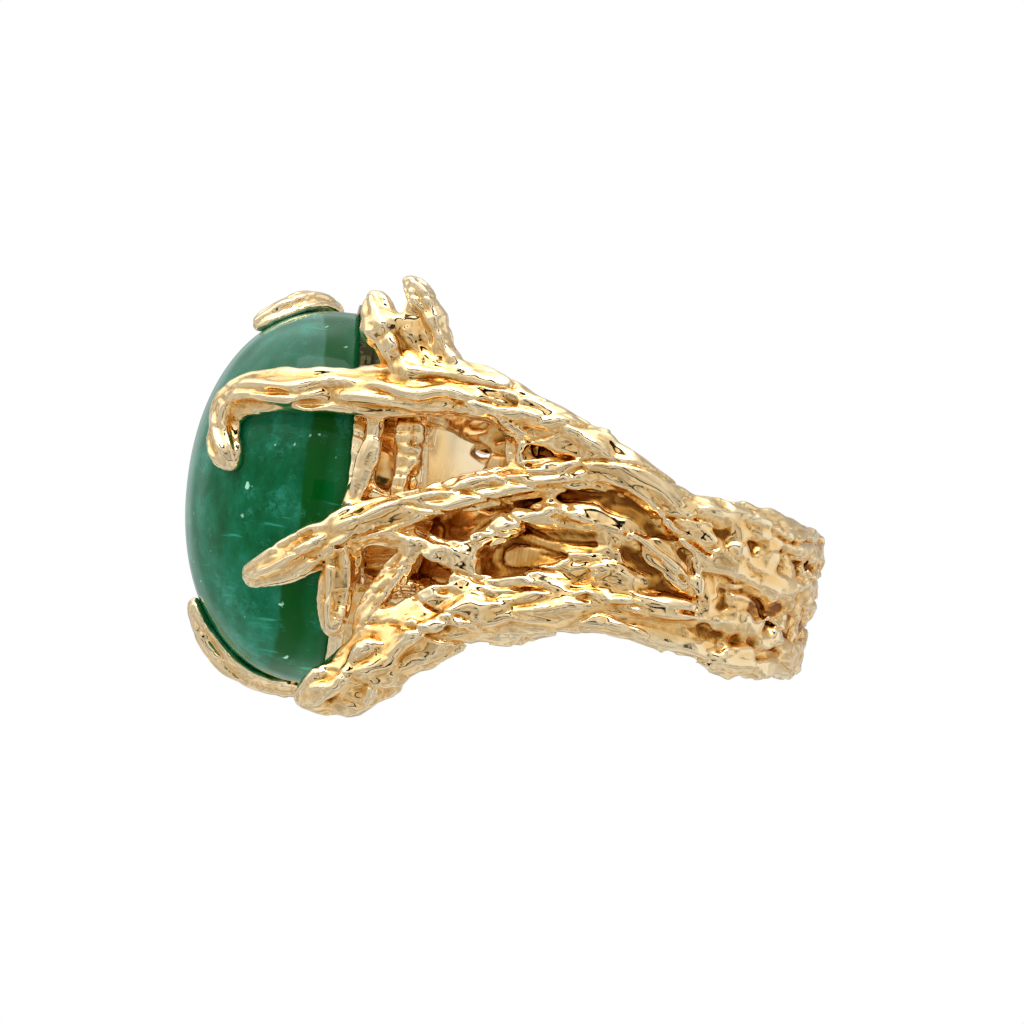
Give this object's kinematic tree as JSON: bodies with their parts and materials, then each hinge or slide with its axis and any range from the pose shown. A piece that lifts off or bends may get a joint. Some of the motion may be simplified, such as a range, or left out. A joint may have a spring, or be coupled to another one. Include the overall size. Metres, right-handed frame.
{
  "type": "cocktail ring",
  "caption": "Yellow-gold ring with a large oval green cabochon held by branch-shaped claws, on an openwork bark-textured shank.",
  "frame": {"origin": "centre of the finger hole, at the middle height of the stone", "axes": "+Z along the finger hole, -X towards the stone, -Y towards the side with the large shoulder window; the ring lies on its side"},
  "size_m": [0.0309, 0.0228, 0.0203],
  "materials": {
    "stone": "polished translucent green stone",
    "bark_gold": "polished bark-textured yellow gold",
    "band_gold": "polished smooth yellow gold",
    "seat_gold": "satin cast yellow gold"
  },
  "bodies": {
    "root": {"cabochon": "stone", "stone_seat": "seat_gold", "bezel_rim": "seat_gold", "gallery_wall": "seat_gold", "gallery_posts": "seat_gold", "inner_band": "band_gold", "back_nuggets": "bark_gold", "upper_claw_near": "bark_gold", "lower_claw_near": "bark_gold", "bottom_claw_near": "bark_gold", "upper_claw_far": "bark_gold", "middle_claw_far": "bark_gold", "lower_claw_far": "bark_gold", "top_twig_stub": "bark_gold", "top_twig_long": "bark_gold", "top_twig_fork": "bark_gold", "top_twig_far": "bark_gold", "middle_branch_near": "bark_gold", "low_branch_near": "bark_gold", "upper_rim_near": "bark_gold", "lower_rim_near": "bark_gold", "gallery_twigs_near": "bark_gold", "shoulder_links_near": "bark_gold", "middle_branch_far": "bark_gold", "low_branch_far": "bark_gold", "upper_rim_far": "bark_gold", "lower_rim_far": "bark_gold", "gallery_twigs_far": "bark_gold", "shoulder_links_far": "bark_gold", "back_branches": "bark_gold"}
  },
  "joints": []
}
